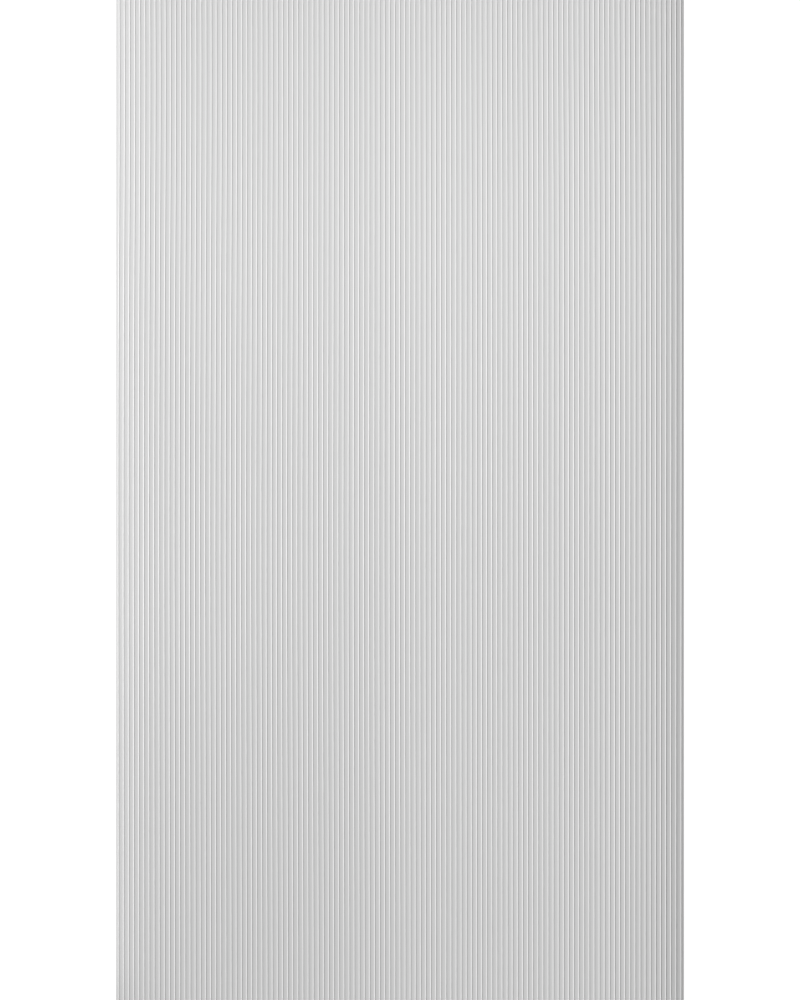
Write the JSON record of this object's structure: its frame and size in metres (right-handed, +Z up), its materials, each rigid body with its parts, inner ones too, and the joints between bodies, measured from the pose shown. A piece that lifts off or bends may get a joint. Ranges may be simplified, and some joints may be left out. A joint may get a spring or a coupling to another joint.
{
  "type": "fluted laminate sheet",
  "caption": "Large thin light-grey laminate sheet with a flat back and a face of narrow parallel hollow flutes, glued to a board as wall or furniture cladding.",
  "frame": {"origin": "middle of the flat back, on the surface that the sheet lies on", "axes": "+Z up out of the fluted face, +Y along the flutes, +X across them"},
  "size_m": [1.22, 2.44, 0.002],
  "materials": {
    "laminate": "light grey melamine face, satin-matt"
  },
  "bodies": {
    "root": {"fluted_sheet": "laminate"}
  },
  "joints": []
}
